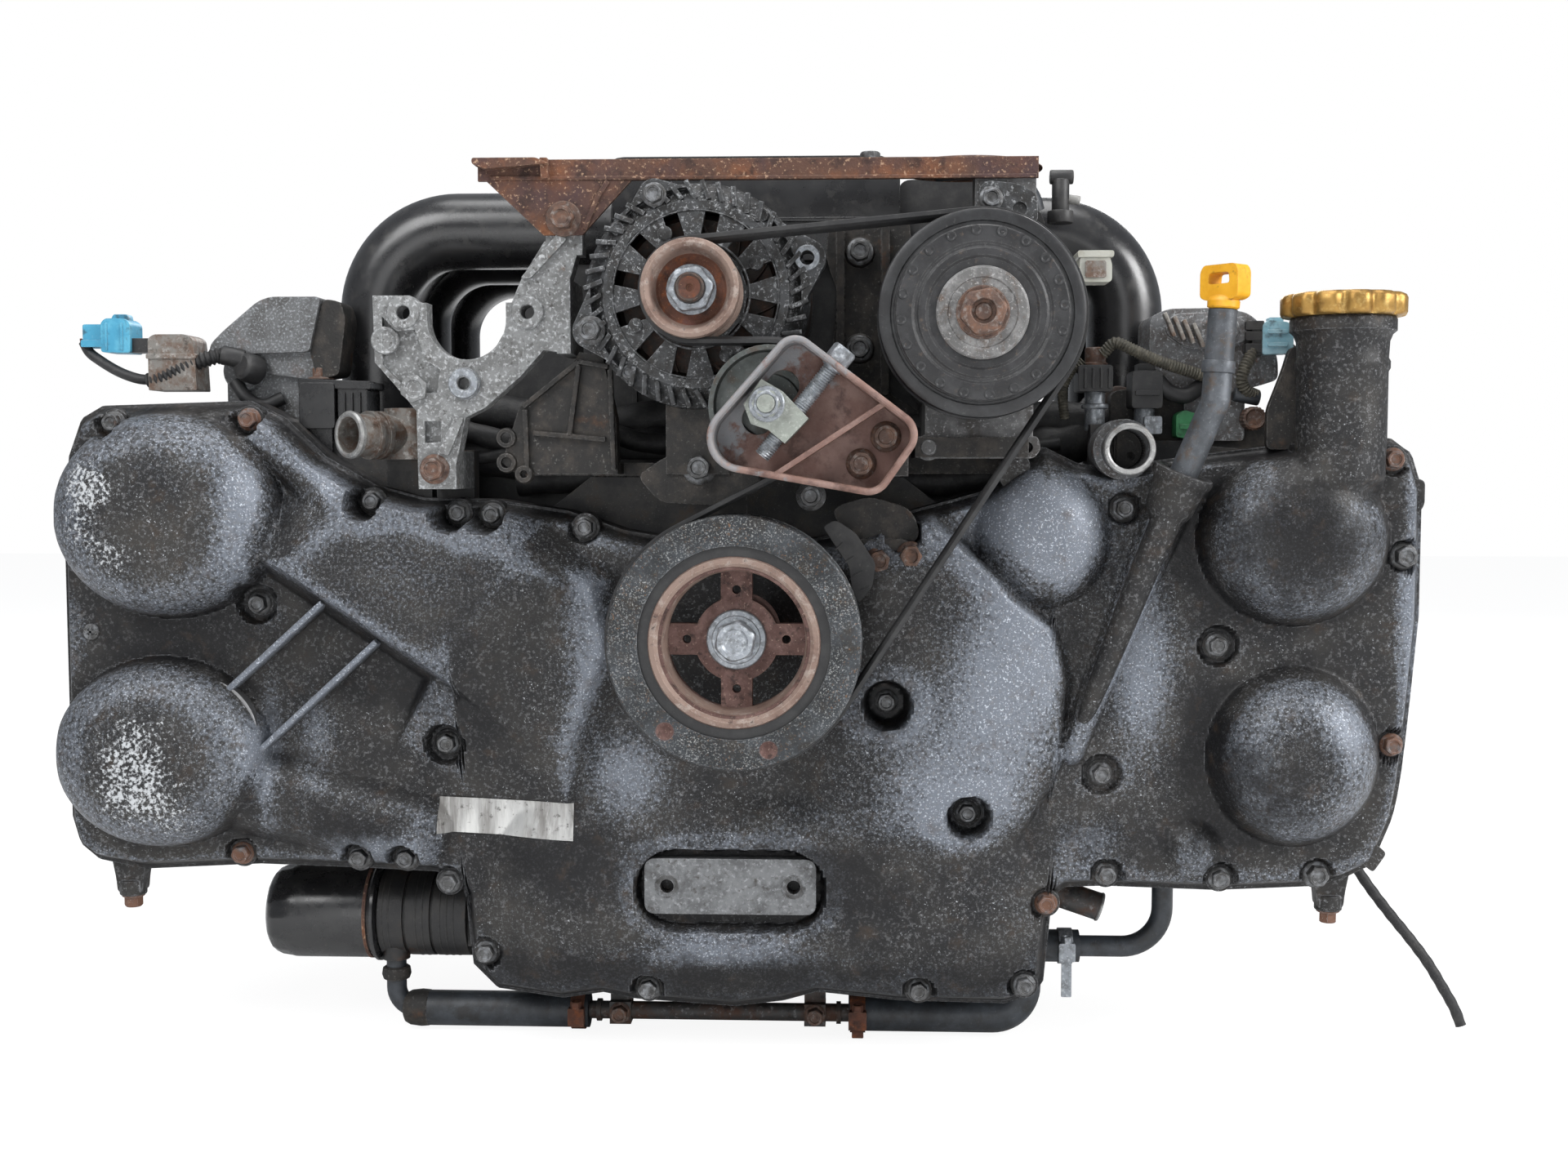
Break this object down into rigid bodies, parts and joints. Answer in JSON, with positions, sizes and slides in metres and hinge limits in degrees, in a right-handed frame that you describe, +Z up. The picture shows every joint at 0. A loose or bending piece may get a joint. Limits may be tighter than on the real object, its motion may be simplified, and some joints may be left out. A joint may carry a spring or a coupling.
{
  "type": "car engine",
  "caption": "Horizontally opposed car engine with a wide cast front cover, belt drive, alternator, compressor clutch, plastic intake manifold and rusted brackets.",
  "frame": {"origin": "crankshaft axis at the rear flange face", "axes": "+X to the right as seen from the front, +Y to the rear along the crankshaft, +Z up"},
  "size_m": [0.8873, 0.514, 0.576],
  "materials": {
    "cover_cast": "sand cast, dark and oxidised",
    "case_cast": "rough die cast, dusty",
    "cam_cover_cast": "rough cast",
    "pan_black": "satin black, dusty",
    "bolt_zinc": "dull zinc plate with rust",
    "ground_steel": "ground",
    "piston_alloy": "machined",
    "chain_steel": "oiled",
    "damper_iron": "turned, speckled with rust",
    "rust_iron": "rusted",
    "black_rubber": "matt, dusty",
    "zinc_bright": "zinc plated",
    "alternator_cast": "die cast, oxidised",
    "copper_core": "varnished windings on a dark core",
    "rotor_steel": "dull",
    "pulley_cream": "stained plating",
    "compressor_cast": "rough cast",
    "clutch_black": "satin black, worn",
    "clutch_face": "worn black over steel",
    "tray_steel": "zinc plate turned to rust",
    "slider_zinc": "grey green zinc plate",
    "idler_steel": "dark with a bright edge",
    "bracket_cast": "coarse sand cast",
    "rail_rust": "heavily rusted",
    "bolt_rust": "rusted",
    "dark_cast": "dark cast",
    "manifold_black": "glossy moulded black",
    "throttle_cast": "machined casting",
    "throttle_brass": "turned",
    "stub_cast": "cast, stained",
    "cap_gold": "gold, dusty",
    "dipstick_yellow": "moulded yellow",
    "tube_steel": "stained grey",
    "filter_black": "satin black",
    "cooler_black": "rough black",
    "pipe_steel": "dull",
    "hose_rubber": "matt blue black",
    "cable_black": "matt",
    "valve_cast": "coarse cast, blotched"
  },
  "bodies": {
    "engine": {"front_cover": "cover_cast", "cover_bolts": "bolt_zinc", "chain_housing": "case_cast", "crankcase_left": "case_cast", "crankcase_right": "case_cast", "head_left": "case_cast", "head_right": "case_cast", "cam_cover_left": "cam_cover_cast", "cam_cover_right": "cam_cover_cast", "oil_pan": "pan_black", "timing_chains": "chain_steel", "alternator_front": "alternator_cast", "alternator_rear": "alternator_cast", "alternator_stator": "copper_core", "compressor_body": "compressor_cast", "tensioner_bracket": "tray_steel", "drive_belt": "black_rubber", "pump_bracket": "bracket_cast", "top_rail": "rail_rust", "bracket_bolts": "bolt_rust", "accessory_bracket": "dark_cast", "intake_manifold": "manifold_black", "throttle_body": "throttle_cast", "coolant_outlet": "stub_cast", "coolant_inlet": "stub_cast", "dipstick_tube": "tube_steel", "oil_filter": "filter_black", "oil_cooler": "cooler_black", "coolant_pipe": "pipe_steel", "coolant_hoses": "hose_rubber", "cut_cable": "cable_black", "valve_box_left": "valve_cast", "valve_box_right": "valve_cast"},
    "crank": {"crankshaft": "ground_steel", "damper_hub": "rust_iron", "damper_rubber": "black_rubber", "damper_ring": "damper_iron", "crank_bolt": "zinc_bright"},
    "piston_left_1": {"piston_left_1": "piston_alloy"},
    "piston_left_2": {"piston_left_2": "piston_alloy"},
    "piston_left_3": {"piston_left_3": "piston_alloy"},
    "piston_right_1": {"piston_right_1": "piston_alloy"},
    "piston_right_2": {"piston_right_2": "piston_alloy"},
    "piston_right_3": {"piston_right_3": "piston_alloy"},
    "camshaft_left_upper": {"camshaft_left_upper": "ground_steel"},
    "camshaft_left_lower": {"camshaft_left_lower": "ground_steel"},
    "camshaft_right_upper": {"camshaft_right_upper": "ground_steel"},
    "camshaft_right_lower": {"camshaft_right_lower": "ground_steel"},
    "alternator_shaft": {"alternator_rotor": "rotor_steel", "alternator_pulley": "pulley_cream", "alternator_nut": "zinc_bright"},
    "compressor_drive": {"compressor_pulley": "clutch_black"},
    "clutch": {"clutch_plate": "clutch_face", "clutch_nut": "bolt_rust"},
    "slider": {"tensioner_slider": "slider_zinc"},
    "adjuster": {"adjuster_screw": "zinc_bright"},
    "idler": {"idler_pulley": "idler_steel"},
    "cap": {"oil_cap": "cap_gold"},
    "stick": {"dipstick": "dipstick_yellow"},
    "throttle": {"throttle_plate": "throttle_brass"}
  },
  "joints": [
    {"name": "crank_spin", "type": "hinge", "parent": "engine", "child": "crank", "pos_m": [0, 0, 0], "axis": [0, 1, 0], "continuous": true},
    {"name": "camshaft_left_upper_spin", "type": "hinge", "parent": "engine", "child": "camshaft_left_upper", "pos_m": [-0.338, -0.2, 0.066], "axis": [0, 1, 0], "continuous": true},
    {"name": "camshaft_left_lower_spin", "type": "hinge", "parent": "engine", "child": "camshaft_left_lower", "pos_m": [-0.338, -0.2, -0.066], "axis": [0, 1, 0], "continuous": true},
    {"name": "camshaft_right_upper_spin", "type": "hinge", "parent": "engine", "child": "camshaft_right_upper", "pos_m": [0.338, -0.2, 0.066], "axis": [0, 1, 0], "continuous": true},
    {"name": "camshaft_right_lower_spin", "type": "hinge", "parent": "engine", "child": "camshaft_right_lower", "pos_m": [0.338, -0.2, -0.066], "axis": [0, 1, 0], "continuous": true},
    {"name": "alternator_spin", "type": "hinge", "parent": "engine", "child": "alternator_shaft", "pos_m": [-0.0247, -0.43, 0.203], "axis": [0, 1, 0], "continuous": true},
    {"name": "compressor_pulley_spin", "type": "hinge", "parent": "engine", "child": "compressor_drive", "pos_m": [0.141, -0.43, 0.188], "axis": [0, 1, 0], "continuous": true},
    {"name": "clutch_spin", "type": "hinge", "parent": "engine", "child": "clutch", "pos_m": [0.141, -0.43, 0.188], "axis": [0, 1, 0], "continuous": true},
    {"name": "tensioner_slide", "type": "slide", "parent": "engine", "child": "slider", "axis": [0.6198, 0, 0.7848], "range_m": [-0.01, 0.012], "deforming": ["drive_belt"]},
    {"name": "adjuster_turn", "type": "hinge", "parent": "engine", "child": "adjuster", "pos_m": [0.03216, -0.456, 0.12689], "axis": [0.6198, 0, 0.7848], "range_deg": [-2885, 3460]},
    {"name": "idler_spin", "type": "hinge", "parent": "slider", "child": "idler", "pos_m": [0.02, -0.428, 0.1365], "axis": [0, 1, 0], "continuous": true},
    {"name": "piston_left_1_slide", "type": "slide", "parent": "engine", "child": "piston_left_1", "axis": [-1, 0, 0], "range_m": [-0.08, 0]},
    {"name": "piston_left_2_slide", "type": "slide", "parent": "engine", "child": "piston_left_2", "axis": [-1, 0, 0], "range_m": [-0.015, 0.0649]},
    {"name": "piston_left_3_slide", "type": "slide", "parent": "engine", "child": "piston_left_3", "axis": [-1, 0, 0], "range_m": [-0.015, 0.0649]},
    {"name": "piston_right_1_slide", "type": "slide", "parent": "engine", "child": "piston_right_1", "axis": [1, 0, 0], "range_m": [-0.08, 0]},
    {"name": "piston_right_2_slide", "type": "slide", "parent": "engine", "child": "piston_right_2", "axis": [1, 0, 0], "range_m": [-0.015, 0.0649]},
    {"name": "piston_right_3_slide", "type": "slide", "parent": "engine", "child": "piston_right_3", "axis": [1, 0, 0], "range_m": [-0.015, 0.0649]},
    {"name": "dipstick_pull", "type": "slide", "parent": "engine", "child": "stick", "axis": [0.0647, 0, 0.9979], "range_m": [0, 0.05]},
    {"name": "oil_cap_lift", "type": "slide", "parent": "engine", "child": "cap", "axis": [0, 0, 1], "range_m": [0, 0.03]},
    {"name": "throttle_turn", "type": "hinge", "parent": "engine", "child": "throttle", "pos_m": [0, -0.0035, 0.268], "axis": [1, 0, 0], "range_deg": [0, 85], "stiffness_Nm_per_rad": 0.05, "springref_deg": -17.19}
  ],
  "couplings": [
    {"joint": "camshaft_left_upper_spin", "follows": "crank_spin", "ratio": 0.5},
    {"joint": "camshaft_left_lower_spin", "follows": "crank_spin", "ratio": 0.5},
    {"joint": "camshaft_right_upper_spin", "follows": "crank_spin", "ratio": 0.5},
    {"joint": "camshaft_right_lower_spin", "follows": "crank_spin", "ratio": 0.5},
    {"joint": "alternator_spin", "follows": "crank_spin", "ratio": 2.5771},
    {"joint": "compressor_pulley_spin", "follows": "crank_spin", "ratio": 1.2527},
    {"joint": "idler_spin", "follows": "crank_spin", "ratio": -1.98},
    {"joint": "adjuster_turn", "follows": "tensioner_slide", "rad_per_m": 5026.5}
  ]
}
